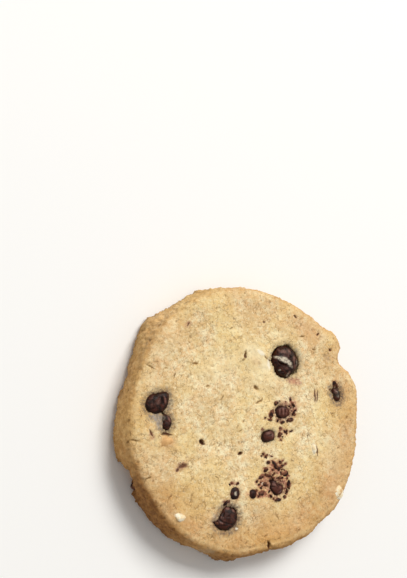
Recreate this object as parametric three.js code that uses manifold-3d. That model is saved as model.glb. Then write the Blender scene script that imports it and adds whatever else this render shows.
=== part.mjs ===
// A praline cookie: a round slice of shortbread dough, baked with dark chocolate chips and
// chopped nuts. Millimetres, +Z up. The cookie lies on its flat underside, and the origin is
// on that underside, below the middle of the cookie's box.
//
// Places on the slice are x, y from the middle of its round outline, seen from above.

import * as THREE from "three";
import { mergeVertices } from "three/addons/utils/BufferGeometryUtils.js";
import { ImprovedNoise } from "three/addons/math/ImprovedNoise.js";
import Module from "manifold-3d";

const wasm = await Module();
wasm.setup();

// ---- Driving dimensions -------------------------------------------------------------------

const RADIUS = 32; // of the slice, before its swells and dips
const THICKNESS = 9.5;
const SHOULDER = 3; // rounding of the upper edge
const FOOT = 1.5; // rounding of the lower edge
const CROWN = 0.35; // the top falls this far from its middle to the shoulder
const GAP = 0.3; // between a chip and the pocket it was baked into
const CHIP_ROUGHNESS = 0.08; // how uneven a chip is, as a share of its size
const CHIP_FULLNESS = 0.6; // 1 for a ball, and less the more a chip bulges towards a block
const LUMP_ROUGHNESS = 0.3; // how uneven a crumb, a nut or a lump of dough is
const LUMP_WAVES = 1.9; // how many swells of that unevenness there are across half a lump

// Rings of facets from the middle of the top outwards and down, and then under the foot.
const TOP_RINGS = 26;
const SHOULDER_RINGS = 4;
const WALL_RINGS = 4;
const FOOT_RINGS = 2;

// Swells and dips of the outline: degrees round from +X, how many degrees they spread, and how
// far they stand out at the shoulder and at the foot.
const SWELLS = [
  [-168, 8, 0.4, 0.8],
  [-130, 16, 0.4, 0.5],
  [-98, 6.5, 0.4, 1.5],
  [-81, 7, -0.6, -0.6],
  [-58, 6, 0.6, 0.4],
  [-39, 7, 1.1, 0.7],
  [-23, 6, 0.35, 0.3],
  [-4, 7, -0.35, -0.2],
  [15, 5.4, 0.75, 0.5],
  [28.4, 4, -1.7, -0.9],
  [31, 2.4, -0.6, -0.3],
  [39.5, 5, 1.6, 0.6],
  [68, 17, -0.5, -0.4],
  [108, 13, 0.6, 0.8],
  [136, 9, 0.4, 1.9],
  [163, 10, -0.5, -1.1],
];

// Chocolate pieces in pockets of their own: place, corners of the outline at the dough's surface
// (degrees round from +X, distance from the place), how far each stands proud of the dough and
// how deep it goes.
const CHIPS = {
  chip_whole: {
    at: [9.7, 14.5], proud: 0.9, deep: 3.1, detail: 4,
    corners: [
      [0, 3.9], [30, 3.8], [60, 3.95], [90, 4], [120, 3.9], [150, 3.8], [176, 4.1], [192, 4],
      [213, 3.5], [238, 4.1], [262, 3.95], [300, 4.05], [335, 3.85],
    ],
  },
  chip_left: {
    at: [-24.8, 4], proud: 0.7, deep: 2.6, detail: 3,
    corners: [
      [0, 2.55], [20, 2.75], [44, 3.3], [70, 2.45], [100, 2.2], [150, 2.4], [182, 2.85],
      [212, 2.85], [250, 2.5], [300, 2.25], [325, 2.45],
    ],
  },
  chip_left_tail: {
    at: [-22.6, -0.2], proud: 0.6, deep: 2.2, detail: 2,
    corners: [
      [0, 1.1], [50, 1.25], [90, 1.6], [115, 1.55], [145, 1], [180, 0.75], [210, 0.9],
      [240, 1.5], [262, 1.85], [290, 1.7], [320, 1.35],
    ],
  },
  chip_lower: {
    at: [-6.3, -22.6], proud: 0.8, deep: 2.6, detail: 3,
    corners: [
      [0, 2.65], [35, 2.8], [75, 2.75], [112, 2.7], [140, 2.2], [172, 2.3], [196, 3.3],
      [225, 3.1], [262, 2.85], [300, 2.55], [330, 2.6],
    ],
  },
  chip_right: {
    at: [24.8, 6.6], proud: 0.4, deep: 2.1, detail: 2,
    corners: [
      [0, 1], [30, 1], [70, 1.6], [105, 1.65], [138, 1.95], [165, 1.4], [200, 1], [240, 1.35],
      [275, 1.6], [306, 1.8], [335, 1.35],
    ],
  },
  chip_upper_chunk: {
    at: [8.8, 2.2], proud: 0.6, deep: 2, detail: 2,
    corners: [
      [0, 2.1], [35, 2], [85, 1.5], [120, 1.75], [155, 2.15], [185, 2.1], [220, 1.9], [245, 1.85],
      [270, 1.65], [300, 1.8], [340, 2.1],
    ],
  },
  chip_middle_chunk: {
    at: [4.7, -3.5], proud: 0.6, deep: 2, detail: 2,
    corners: [
      [0, 1.75], [40, 1.9], [80, 1.5], [115, 1.45], [160, 1.85], [190, 2], [225, 1.95],
      [262, 1.5], [295, 1.4], [335, 1.95],
    ],
  },
  chip_crumbled: {
    at: [6.8, -16], proud: 0.6, deep: 2, detail: 3,
    corners: [
      [0, 2], [25, 1.9], [55, 1.1], [80, 1.5], [105, 2.15], [130, 2.2], [160, 1.8], [205, 1.4],
      [240, 1.5], [275, 1.8], [305, 1.75], [330, 2.15],
    ],
  },
};

// The fold in the whole chip, where its soft tip was pressed over.
const FOLD = { from: [5.2, 14.5], to: [11.2, 12.9], width: 1.1, depth: 1.2 };

// Chocolate crumbs that hold fast to the dough: place, size along and across, degrees turned.
const CRUMBS = [
  [-4.6, -16.9, 2.4, 2.3, 0], [0.2, -17.1, 2.1, 1.9, 80], [-7.0, -19.1, 1.6, 0.9, 35],
  [-9.4, -23.6, 1.7, 0.8, -30], [24.1, 9.3, 1.4, 1.0, -40],
  [5.5, 1.7, 2.3, 1.2, 62], [5.0, 0.5, 1.2, 0.6, -30], [7.0, 4.3, 1.2, 0.7, 15],
  [11.8, 3.8, 1.7, 0.7, -50], [11.8, 1.9, 1.1, 1.0, 0], [10.9, 0.3, 1.8, 0.8, 12],
  [8.6, -0.3, 1.2, 0.6, 0], [8.1, -1.8, 0.8, 0.7, 80], [7.8, -3.3, 1.2, 1.0, 80],
  [9.6, -2.5, 1.4, 0.9, -40], [6.4, -10.5, 2.4, 1.4, -35], [7.4, -11.3, 1.3, 0.8, -40],
  [4.7, -9.8, 1.3, 0.7, 10], [7.8, -9.8, 1.0, 0.8, -30], [3.7, -11.5, 1.6, 1.0, 20],
  [8.4, -10.7, 1.1, 0.7, 30], [9.2, -12.3, 2.4, 1.5, -15], [4.6, -12.9, 1.9, 1.5, -20],
  [2.9, -13.1, 1.7, 0.9, 28], [7.6, -13.6, 1.0, 0.7, 0], [10.4, -15.2, 1.9, 1.6, 75],
  [3.9, -14.9, 1.5, 1.3, 0], [9.9, -16.7, 0.9, 0.7, 80], [3.0, -17.0, 2.2, 1.0, 0],
  [5.0, -17.8, 1.2, 0.8, -15], [7.1, -18.7, 2.0, 0.7, 0], [9.3, -18.0, 1.0, 0.6, 25],
];
const CRUMB_PROUD = 0.4;

// Chopped nuts that show: place, size along and across, degrees turned, height above the dough.
const NUTS = [
  [-22.3, -4.9, 3.4, 2.4, 10, 0.4], [-19.0, -21.9, 2.6, 1.6, -15, 0.35],
  [24.9, -17.3, 3.0, 2.6, 60, 0.6], [1.2, 15.0, 6.4, 4.0, -35, 0.3],
  [17.8, -6.8, 2.3, 1.2, 100, 0.3], [18.4, 6.2, 3.2, 0.9, 95, 0.25],
];

// Rough dough that stands out of the wall: degrees, distance out, height, size round, across, up.
const LUMPS = [
  [36.4, 31.2, 6.8, 4.0, 3.6, 4.2], [42, 31.8, 4.2, 3.6, 2.6, 4.4],
  [-95, 32.2, 2.1, 5.6, 2.6, 2.2], [-100, 32.1, 1.7, 3.6, 2.2, 2.0],
];

// Places where the dough broke away: degrees, distance out, height, size round, across, up.
const BITES = [
  [-157.2, 32.5, 1.2, 6.6, 7.4, 8.4], [-152, 33.6, 1.2, 5.4, 6.2, 7.4],
  [30.2, 33.0, 8.0, 4.0, 5.4, 5.8], [-76, 33.4, 4.6, 2.2, 4.0, 8.0],
];
const WALL_CHIP = [-151.2, 31.0, 2.2, 1.7, 1.5, 1.6]; // a crumb of chocolate in the large bite

// Cracks, holes and pores seen from above: place, length, width, depth, degrees turned.
const GASHES = [
  [-29.6, 14.7, 2.6, 0.7, 1.2, -10], [-26.6, 12.4, 2.6, 0.4, 0.5, -28],
  [-30.3, -4.4, 3.6, 0.6, 1.1, -8], [-22.0, 27.0, 2.0, 0.7, 0.9, 60],
  [4.9, -29.2, 1.8, 1.0, 1.4, -75], [-22.8, -3.1, 3.2, 0.7, 1.0, -14],
  [-26.3, -2.8, 2.2, 0.5, 0.8, -68], [16.0, -3.4, 1.4, 0.4, 0.6, 80],
  [-13.4, -4.8, 1.6, 1.2, 1.2, -40], [-3.1, -7.6, 1.5, 0.9, 1.1, 15],
  [1.3, 8.0, 1.7, 1.0, 0.7, -35], [2.2, 4.7, 2.2, 0.6, 0.6, 25],
  [-1.7, 15.7, 2.1, 0.8, 0.8, 80], [4.0, 15.3, 1.3, 0.5, 0.6, -40],
  [-15.0, 13.4, 1.6, 0.6, 0.5, 0], [3.7, 23.8, 0.9, 0.7, 0.6, 0],
  [12.7, 25.5, 1.3, 0.7, 0.6, -40], [14.6, 20.7, 1.2, 0.8, 0.6, 10],
  [19.4, 21.4, 1.3, 0.7, 0.6, 40], [23.0, 17.6, 1.3, 0.7, 0.6, 10],
  [18.0, 17.6, 1.0, 0.7, 0.5, 0], [-18.4, -10.3, 1.9, 0.7, 0.6, 8],
  [-16.7, 22.6, 1.5, 0.9, 0.6, 50],
];
const PORES = { count: 26, reach: 28, smallest: 0.7, largest: 1.3, clearance: 4.6, seed: 11 };

// Relief of the dough, each as the size of its lumps and their height.
const SWELLING = { size: 11, height: 0.3 };
const CRAGS = { size: 4.2, height: 0.22 };
const EDGE_CRAGS = { size: 2.6, height: 0.3 };

// ---- Materials ----------------------------------------------------------------------------

const DOUGH = new THREE.MeshStandardMaterial({ color: "#dfc08c", roughness: 0.9, metalness: 0 });
const CHOCOLATE = new THREE.MeshStandardMaterial({ color: "#35221f", roughness: 0.45, metalness: 0 });

// ---- The slice's own surface --------------------------------------------------------------

const noise = new ImprovedNoise();
const smooth = THREE.MathUtils.smoothstep;
const radians = THREE.MathUtils.degToRad;

function relief({ size, height }, x, y, z, layer = 0) {
  return height * noise.noise(x / size + layer, y / size + layer, z / size + layer);
}

// How far the outline stands out of the circle, at an angle in radians and a height.
function swell(angle, z) {
  const up = smooth(z, FOOT, THICKNESS - SHOULDER);
  const degrees = THREE.MathUtils.radToDeg(angle);
  let out = 0;
  for (const [at, spread, atShoulder, atFoot] of SWELLS) {
    const off = THREE.MathUtils.euclideanModulo(degrees - at + 180, 360) - 180;
    out += THREE.MathUtils.lerp(atFoot, atShoulder, up) * Math.exp(-((off / spread) ** 2));
  }
  return out;
}

// Height of the top at x, y: its crown, its relief and the round shoulder.
function topHeight(x, y) {
  const angle = Math.atan2(y, x);
  const from = (Math.hypot(x, y) * RADIUS) / (RADIUS + swell(angle, THICKNESS));
  const flat = RADIUS - SHOULDER;
  const over = THREE.MathUtils.clamp(from - flat, 0, SHOULDER);
  const fall = SHOULDER - Math.sqrt(SHOULDER ** 2 - over ** 2);
  return THICKNESS - CROWN * Math.min(from / flat, 1) ** 2 - fall + topRelief(x, y);
}

function topRelief(x, y) {
  return relief(SWELLING, x, y, 0) + relief(CRAGS, x, y, 0, 7);
}

// The slice's profile, as [distance from the middle, height] of each ring from the middle of
// the top down to the foot.
function upperProfile() {
  const flat = RADIUS - SHOULDER;
  const rings = [];
  for (let i = 0; i < TOP_RINGS; i++) rings.push([(flat * i) / TOP_RINGS, THICKNESS]);
  for (let i = 0; i < SHOULDER_RINGS; i++) {
    const turn = (Math.PI / 2) * (i / SHOULDER_RINGS);
    rings.push([flat + SHOULDER * Math.sin(turn), THICKNESS - SHOULDER * (1 - Math.cos(turn))]);
  }
  for (let i = 0; i <= WALL_RINGS; i++) {
    const down = i / WALL_RINGS;
    rings.push([RADIUS, THREE.MathUtils.lerp(THICKNESS - SHOULDER, FOOT, down)]);
  }
  return rings;
}

// The rings under the widest one: the foot's rounding, and its edge on the flat underside.
function lowerProfile() {
  const rings = [];
  for (let i = 1; i <= FOOT_RINGS; i++) {
    const turn = (Math.PI / 2) * (i / FOOT_RINGS);
    rings.push([RADIUS - FOOT * (1 - Math.cos(turn)), FOOT * (1 - Math.sin(turn))]);
  }
  return rings;
}

// The slice as a closed surface. An octahedron's rows of points, 4, 8, 12 and so on from each
// tip, become even rings. Under the foot only the middle is left, so the underside is flat.
function sliceGeometry() {
  const upper = upperProfile();
  const lower = lowerProfile();
  const rows = upper.length - 1;
  const slice = new THREE.OctahedronGeometry(1, rows - 1);
  const at = slice.attributes.position;
  const p = new THREE.Vector3();
  for (let i = 0; i < at.count; i++) {
    p.fromBufferAttribute(at, i);
    const across = Math.abs(p.x) + Math.abs(p.y);
    const row = Math.round((rows * across) / (across + Math.abs(p.z)));
    const below = p.z < 0 ? rows - row : 0;
    const [reach, height] = below ? lower[below - 1] ?? [0, 0] : upper[row];
    const angle = across < 1e-9 ? 0 : ringAngle(p, across);
    at.setXYZ(i, ...surfacePoint(reach, height, angle));
  }
  return slice;
}

// The angle of an octahedron's point, even along its row of points.
function ringAngle(p, across) {
  const quarter = ((Math.PI / 2) * Math.abs(p.y)) / across;
  const upperHalf = p.x >= 0 ? quarter : Math.PI - quarter;
  return p.y >= 0 ? upperHalf : -upperHalf;
}

function surfacePoint(reach, height, angle) {
  const grown = reach * (1 + swell(angle, height) / RADIUS);
  const x = grown * Math.cos(angle);
  const y = grown * Math.sin(angle);
  if (height === 0) return [x, y, 0];
  const onTop = smooth(height, THICKNESS - SHOULDER, THICKNESS);
  const fall = CROWN * onTop * Math.min(reach / (RADIUS - SHOULDER), 1) ** 2;
  const edge = smooth(reach, RADIUS - 2 * SHOULDER, RADIUS);
  const out = edge * (relief(EDGE_CRAGS, x, y, height, 3) + relief(CRAGS, x, y, height, 5));
  const z = height - fall + onTop * topRelief(x, y);
  return [x + out * Math.cos(angle), y + out * Math.sin(angle), z];
}

// ---- Pieces in and on the slice -----------------------------------------------------------

// An uneven lump: a ball with its three sizes, roughened, turned about Z and placed.
function lump({ place, sizes, turn, detail = 0 }) {
  const geometry = new THREE.IcosahedronGeometry(1, detail);
  const at = geometry.attributes.position;
  const p = new THREE.Vector3();
  for (let i = 0; i < at.count; i++) {
    p.fromBufferAttribute(at, i);
    p.multiplyScalar((1 + LUMP_ROUGHNESS * unevenness(p, place)) / 2);
    at.setXYZ(i, p.x * sizes[0], p.y * sizes[1], p.z * sizes[2]);
  }
  return geometry.rotateZ(radians(turn)).translate(...place);
}

// From -1 to 1, for a point p of a ball of size 1, different for every place.
function unevenness(p, place) {
  const [x, y, z] = place;
  return noise.noise(LUMP_WAVES * p.x + x, LUMP_WAVES * p.y + y, LUMP_WAVES * p.z + z);
}

// A chip in its place, or its pocket, which is larger all round by grow. It is widest under the
// dough's surface, and its corners are at that surface.
function chipGeometry({ at, corners, proud, deep, detail }, grow = 0) {
  const geometry = new THREE.IcosahedronGeometry(1, detail);
  const point = geometry.attributes.position;
  const place = [...at, topHeight(...at) + (proud - deep) / 2];
  const half = (proud + deep) / 2;
  const surface = (deep - proud) / (deep + proud);
  const widest = 1 / chipWidth(Math.sqrt(1 - surface ** 2));
  const p = new THREE.Vector3();
  for (let i = 0; i < point.count; i++) {
    p.fromBufferAttribute(point, i);
    const across = Math.hypot(p.x, p.y);
    const angle = Math.atan2(p.y, p.x);
    const swollen = 1 + CHIP_ROUGHNESS * unevenness(p, place);
    const out = reachAt(corners, angle) * widest * chipWidth(across) * swollen + grow * across;
    const up = p.z * (half * swollen + grow);
    point.setXYZ(i, out * Math.cos(angle), out * Math.sin(angle), up);
  }
  return geometry.translate(...place);
}

// Width of a chip where a ball would be as wide as across: fuller than the ball.
function chipWidth(across) {
  return across ** CHIP_FULLNESS;
}

// Distance from a chip's place to its outline, between the corners on either side of the angle.
function reachAt(corners, angle) {
  const degrees = THREE.MathUtils.euclideanModulo(THREE.MathUtils.radToDeg(angle), 360);
  const after = corners.findIndex(([at]) => at > degrees);
  const [end, endReach] = after < 0 ? [corners[0][0] + 360, corners[0][1]] : corners[after];
  const [start, startReach] = corners.at(after < 0 ? -1 : after - 1);
  return THREE.MathUtils.mapLinear(degrees, start, end, startReach, endReach);
}

// A small piece baked onto the top, standing proud of it and sunk as deep as it is wide.
function toppingGeometry(x, y, along, across, turn, proud) {
  const tall = 2 * proud + across / 2;
  const place = [x, y, topHeight(x, y) + proud - tall / 2];
  return lump({ place, sizes: [along, across, tall], turn });
}

// A piece of dough at the wall, or the shape of a piece that broke away there.
function wallLump([degrees, distance, height, round, across, up]) {
  const angle = radians(degrees);
  const place = [distance * Math.cos(angle), distance * Math.sin(angle), height];
  return lump({ place, sizes: [across, round, up], turn: degrees, detail: 1 });
}

// A crack or hole: an octahedron drawn out along it, half in and half out of the top.
function gash([x, y, length, width, depth, turn]) {
  return new THREE.OctahedronGeometry(1)
    .scale(length / 2, width / 2, depth)
    .rotateZ(radians(turn))
    .translate(x, y, topHeight(x, y));
}

function foldGeometry({ from, to, width, depth }) {
  const middle = [(from[0] + to[0]) / 2, (from[1] + to[1]) / 2];
  const turn = THREE.MathUtils.radToDeg(Math.atan2(to[1] - from[1], to[0] - from[0]));
  const length = Math.hypot(to[0] - from[0], to[1] - from[1]);
  return gash([...middle, length, width, depth, turn]).translate(0, 0, CHIPS.chip_whole.proud);
}

// Pores spread evenly at random over the top, clear of the chocolate.
function pores({ count, reach, smallest, largest, clearance, seed }) {
  const random = (i) => THREE.MathUtils.seededRandom(seed * 1000 + i);
  const chocolate = [...Object.values(CHIPS).map((chip) => chip.at), ...CRUMBS];
  const found = [];
  for (let i = 0; found.length < count; i += 4) {
    const distance = reach * Math.sqrt(random(i));
    const angle = 2 * Math.PI * random(i + 1);
    const [x, y] = [distance * Math.cos(angle), distance * Math.sin(angle)];
    const length = THREE.MathUtils.lerp(smallest, largest, random(i + 2));
    const clear = chocolate.every(([cx, cy]) => Math.hypot(cx - x, cy - y) > clearance);
    if (clear) found.push([x, y, length, length * 0.6, length * 0.5, 180 * random(i + 3)]);
  }
  return found;
}

// ---- Solids -------------------------------------------------------------------------------

// A closed geometry as a solid. Faces whose corners fall together are left out.
function solid(geometry) {
  const bare = geometry.clone();
  for (const name of Object.keys(bare.attributes)) {
    if (name !== "position") bare.deleteAttribute(name);
  }
  const merged = mergeVertices(bare, 1e-4);
  const triVerts = [];
  for (let i = 0; i < merged.index.count; i += 3) {
    const [a, b, c] = merged.index.array.slice(i, i + 3);
    if (a !== b && b !== c && c !== a) triVerts.push(a, b, c);
  }
  return new wasm.Manifold(
    new wasm.Mesh({
      numProp: 3,
      vertProperties: merged.attributes.position.array,
      triVerts: Uint32Array.from(triVerts),
    }),
  );
}

// The largest body of a solid, without the scraps a cut may leave.
function largestBody(made) {
  return made.decompose().reduce((best, body) => (body.volume() > best.volume() ? body : best));
}

function mesh(name, made, material) {
  const { vertProperties, triVerts } = made.getMesh();
  const geometry = new THREE.BufferGeometry();
  geometry.setAttribute("position", new THREE.BufferAttribute(vertProperties, 3));
  geometry.setIndex(new THREE.BufferAttribute(triVerts, 1));
  const named = new THREE.Mesh(geometry.toNonIndexed(), material);
  named.geometry.computeVertexNormals();
  named.name = name;
  return named;
}

function dough() {
  const added = [
    ...CRUMBS.map((crumb) => toppingGeometry(...crumb, CRUMB_PROUD)),
    ...NUTS.map((nut) => toppingGeometry(...nut)),
    ...LUMPS.map(wallLump),
  ];
  const pockets = Object.values(CHIPS).map((chip) => chipGeometry(chip, GAP));
  const cut = [...BITES.map(wallLump), ...GASHES.map(gash), ...pores(PORES).map(gash)];
  let body = solid(sliceGeometry());
  for (const geometry of added) body = body.add(solid(geometry));
  for (const geometry of [...cut, ...pockets]) body = body.subtract(solid(geometry));
  body = body.add(solid(wallLump(WALL_CHIP)));
  return mesh("dough", largestBody(body), DOUGH);
}

function chip(name) {
  let body = solid(chipGeometry(CHIPS[name]));
  if (name === "chip_whole") body = body.subtract(solid(foldGeometry(FOLD)));
  return mesh(name, largestBody(body), CHOCOLATE);
}

// ---- The cookie ---------------------------------------------------------------------------

const slice = new THREE.Group();
slice.add(dough(), ...Object.keys(CHIPS).map(chip));

// The swells leave the outline's box off its circle's middle: the box's middle is the origin.
const box = new THREE.Box3().setFromObject(slice);
const middle = box.getCenter(new THREE.Vector3());
slice.position.set(-middle.x, -middle.y, -box.min.z);

const cookie = new THREE.Group();
cookie.add(slice);

export default cookie;
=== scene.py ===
"""The looks of a praline cookie: a round slice of shortbread with chocolate chips and nuts.

Places on the slice are x, y in millimetres from the middle of its round outline, seen from
above, as in the CAD part. SLICE_MIDDLE is where that middle lies in the frame.
"""

import math
import random

import bmesh
import bpy
import numpy as np
from mathutils import Matrix, Vector, noise
from mathutils.bvhtree import BVHTree


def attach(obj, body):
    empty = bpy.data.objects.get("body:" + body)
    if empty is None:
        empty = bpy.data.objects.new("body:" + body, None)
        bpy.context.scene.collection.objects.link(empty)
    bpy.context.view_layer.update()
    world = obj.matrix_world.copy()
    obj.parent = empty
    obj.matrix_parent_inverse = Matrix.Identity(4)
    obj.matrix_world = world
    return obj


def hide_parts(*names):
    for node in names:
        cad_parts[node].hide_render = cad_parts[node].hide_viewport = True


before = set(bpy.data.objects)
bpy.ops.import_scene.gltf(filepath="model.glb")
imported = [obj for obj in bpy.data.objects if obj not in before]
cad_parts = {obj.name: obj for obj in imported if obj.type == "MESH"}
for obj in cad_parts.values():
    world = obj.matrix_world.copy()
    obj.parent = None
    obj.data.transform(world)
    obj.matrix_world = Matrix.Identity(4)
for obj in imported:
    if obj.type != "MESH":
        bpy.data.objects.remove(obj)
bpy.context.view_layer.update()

MM = 0.001
SLICE_MIDDLE = Vector((0.168, 0.603, 0.0)) * MM
RADIUS = 32.0
THICKNESS = 9.5
BODY = "root"

# ---- Camera, as the photograph was taken --------------------------------------------------

PICTURE = (407, 578)
COOKIE_PIXEL = (241.7, 421.1)  # where the middle of the cookie shows
FOCAL_PIXELS = 1235.1
CAMERA_DISTANCE = 300.0
CAMERA_TILT = math.radians(30.2)  # from straight above, towards -X
SENSOR = 36.0
CLIP_START = 0.01

# ---- Light --------------------------------------------------------------------------------

SKY_STRENGTH = 0.40
KEY_WATTS = 19.0
KEY_SIZE = 0.75
KEY_DISTANCE = 1.5
KEY_AZIMUTH = math.radians(68)
KEY_HEIGHT = math.radians(50)
KEY_COLOUR = (1.0, 0.98, 0.95)
SKY_COLOUR = (1.0, 0.985, 0.96, 1.0)
FLOOR_SIZE = 3.0
FLOOR_DROP = 0.05  # the floor lies this far under the cookie
FLOOR_COLOUR = (0.96, 0.96, 0.95, 1.0)
FLOOR_ROUGHNESS = 0.8

# ---- Colours: red, green and blue, from 0 to 255 ------------------------------------------

COLOURS = {
    # the crumb; hollow is painted shade in its pores and cracks
    "cream": (255, 242, 201), "wheat": (240, 205, 154), "olive wheat": (216, 186, 126),
    "toffee": (229, 195, 144), "butter": (248, 220, 150), "light grain": (255, 242, 202),
    "fleck": (184, 144, 88), "pit": (158, 116, 64), "seam": (136, 96, 50), "hollow": (120, 80, 36),
    "pale": (250, 234, 194), "tan": (220, 168, 116),
    "raw": (255, 255, 255), "browned": (222, 190, 156),  # multiplied with the crumb
    # the wall; its shoulder colour is a painted highlight, and the crust colours hold painted shade as
    # well as browning
    "shoulder": (244, 214, 158), "dark crust and shade": (122, 76, 36), "light crust and shade": (168, 116, 62),
    "dark gold": (195, 141, 74), "light gold": (233, 186, 116), "foot": (112, 70, 36),
    "grey patch": (190, 166, 136), "flake": (140, 122, 100), "underside": (178, 122, 68),
    # stains and strokes
    "stain": (206, 146, 118), "stain speck": (96, 54, 38), "crumb stain": (152, 98, 74),
    "mark": (150, 84, 66), "halo": (112, 92, 78), "fat": (150, 136, 122), "haze": (214, 204, 192),
    "olive stroke": (140, 104, 54), "light stroke": (255, 246, 222), "dark stroke": (84, 40, 26),
    # chocolate, with a painted highlight for lit facets and painted shade for creases; the bloom holds
    # painted sheen besides pale fat
    "dark chocolate": (27, 9, 3), "light chocolate": (74, 34, 21), "chip rim": (84, 44, 22),
    "warm": (112, 58, 42), "warm rim": (36, 16, 10), "lit": (130, 90, 78), "crease": (20, 9, 6),
    "bloom_and_sheen": (206, 194, 172), "dark crumb": (42, 20, 16), "light crumb": (112, 68, 46),
    "crumb bloom": (196, 178, 176),
    # nuts
    "light nut": (255, 246, 220), "dark nut": (240, 218, 174),
    "light toast": (228, 180, 118), "dark toast": (214, 164, 104),
}

# Patches that mottle the crumb, one over the other: size of the lumps, detail and roughness of
# the noise, where in it a patch starts and is full, its strength and its colour.
MOTTLING = [
    (3.4, 4.0, 0.7, 0.42, 0.62, 0.5, "olive wheat"),
    (6.5, 3.0, 0.55, 0.44, 0.66, 0.6, "toffee"),
    (11.0, 1.0, 0.55, 0.38, 0.66, 0.5, "butter"),
    (0.6, 3.0, 0.7, 0.54, 0.66, 0.7, "light grain"),
    (0.34, 2.0, 0.6, 0.58, 0.70, 0.58, "fleck"),
]
STROKE_EDGE = (0.6, 1.4)  # shares of a stroke's reach between which it fades

# ---- Dough --------------------------------------------------------------------------------

WELD = 0.0005  # corners of the CAD mesh closer than this are one
DOUGH_KNIT = 0.316  # size of the mesh's faces
DOUGH_SMOOTHING = 2
SNUG = {"reach": 1.1, "gap": 0.42, "left": -0.25}  # how the dough closes up round a chip
HALO_REACH = 3.0  # how far from a chip its grey darkening is worked out

# Relief. A broken one also has the falloff, the step and the number of its finer layers.
GRAIN = {"size": 0.85, "height": 0.16, "level": 0.55}
CRUMB = {"size": 0.7, "height": 0.14, "layers": (0.7, 2.1, 3)}
UNDULATION = {"size": 3.4, "height": 0.12}
RAGGED = {"size": 1.6, "height": 0.42, "layers": (0.6, 2.2, 3)}  # on the wall, over the rest
SHOULDER = {"height": 0.26, "at": 42.0, "spread": 22.0}  # how much fuller the rim's shoulder is
WALL_LEAN = {"from": 40.0, "over": 35.0}  # degrees of lean at which the wall gets ragged
RIM_WIDTH = 4.0
FACES_UP = 0.3  # cracks are cut where the surface's way up is above this
FACES_DOWN = -0.5  # the underside, which gets half the relief and nothing outwards
PORE = {"size": 0.5, "stretch": 1.6, "turn": 55.0, "from": 0.44, "to": 0.62, "depth": 0.24}
PORE_SHIFT = Vector((31.0, 7.0, 3.0))
CRUMB_BED = 0.2  # how deep the dough lies under the crumbs of chocolate

# A soft spot falls off by this much at its reach, and the steeper the higher the power.
SPOT_FALL = 1.6
SPOT_POWER = 1.5

# Bands over which the baking sets in: heights, distances from the middle, and leans as
# 1 minus the way up.
TOP_HEIGHTS = (6.5, 8.2)
UNDER_HEIGHTS = (0.05, 0.4)
FOOT_HEIGHTS = (0.0, 4.0)
EDGE_REACHES = (13.0, 31.0)
OUTER_REACHES = (RADIUS - 5, RADIUS - 3.5)
WALL_LEANS = (0.05, 0.36)
SHOULDER_STARTS = (0.01, 0.06)
SHOULDER_ENDS = (0.08, 0.2)
EDGE_BROWNING = {"least": 0.3, "more": 0.42, "palest": 100.0}  # palest at these degrees round

# Cracks and holes: place, length, width, depth, degrees turned.
CRACKS = [
    (-29.6, 14.7, 2.8, 0.8, 0.9, -10), (-26.6, 12.4, 2.8, 0.5, 0.35, -28),
    (-30.3, -4.4, 2.4, 0.5, 0.5, -8), (-22.0, 27.0, 2.0, 0.7, 0.6, 60),
    (4.9, -29.2, 2.0, 1.0, 1.0, -75), (-22.8, -3.1, 3.6, 0.8, 0.8, -14),
    (-26.3, -2.8, 2.4, 0.6, 0.5, -68), (16.0, -3.4, 1.5, 0.5, 0.4, 80),
    (-13.4, -4.8, 1.7, 1.2, 0.9, -40), (-3.1, -7.6, 1.5, 0.9, 0.8, 15),
    (1.3, 8.0, 1.8, 1.0, 0.4, -35), (2.2, 4.7, 2.3, 0.6, 0.35, 25),
    (-1.7, 15.7, 2.1, 0.8, 0.45, 80), (4.0, 15.3, 1.4, 0.5, 0.4, -40),
    (-15.0, 13.4, 1.7, 0.6, 0.3, 0), (3.7, 23.8, 0.9, 0.7, 0.5, 0),
    (12.7, 25.5, 1.4, 0.7, 0.5, -40), (14.6, 20.7, 1.3, 0.8, 0.4, 10),
    (19.4, 21.4, 1.4, 0.7, 0.5, 40), (23.0, 17.6, 1.3, 0.7, 0.5, 10),
    (18.0, 17.6, 1.1, 0.7, 0.4, 0), (-27.0, -12.9, 1.5, 0.5, 0.4, 20),
]

# Where melted chocolate stained the dough: place, reach along and across, degrees, strength.
STAINS = [
    (9.3, 2.4, 3.8, 2.8, 20, 0.9), (11.7, 3.9, 1.6, 2.1, 40, 0.8), (8.9, -2.8, 2.4, 1.3, 0, 0.5),
    (6.6, -11.4, 3.0, 2.6, -30, 0.85), (6.6, -15.2, 4.8, 3.4, 0, 0.95), (3.6, -14.6, 2.8, 2.2, 20, 0.8),
    (2.8, -17.2, 3.0, 1.2, 0, 0.85), (-4.6, -14.6, 1.4, 0.8, 0, 0.45), (-1.2, -17.1, 1.0, 0.7, 0, 0.5),
    (12.2, 9.7, 2.8, 1.2, -10, 0.75), (-17.0, 22.4, 1.6, 1.0, 30, 0.4), (-26.4, -3.6, 1.3, 1.2, 0, 0.45),
    (-6.8, -18.9, 1.7, 1.0, 0, 0.5), (24.2, 9.0, 1.4, 1.6, 0, 0.35), (22.2, 15.6, 2.4, 1.5, 10, 0.22),
    (-18.0, -9.6, 2.6, 1.6, 20, 0.25),
]

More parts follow.
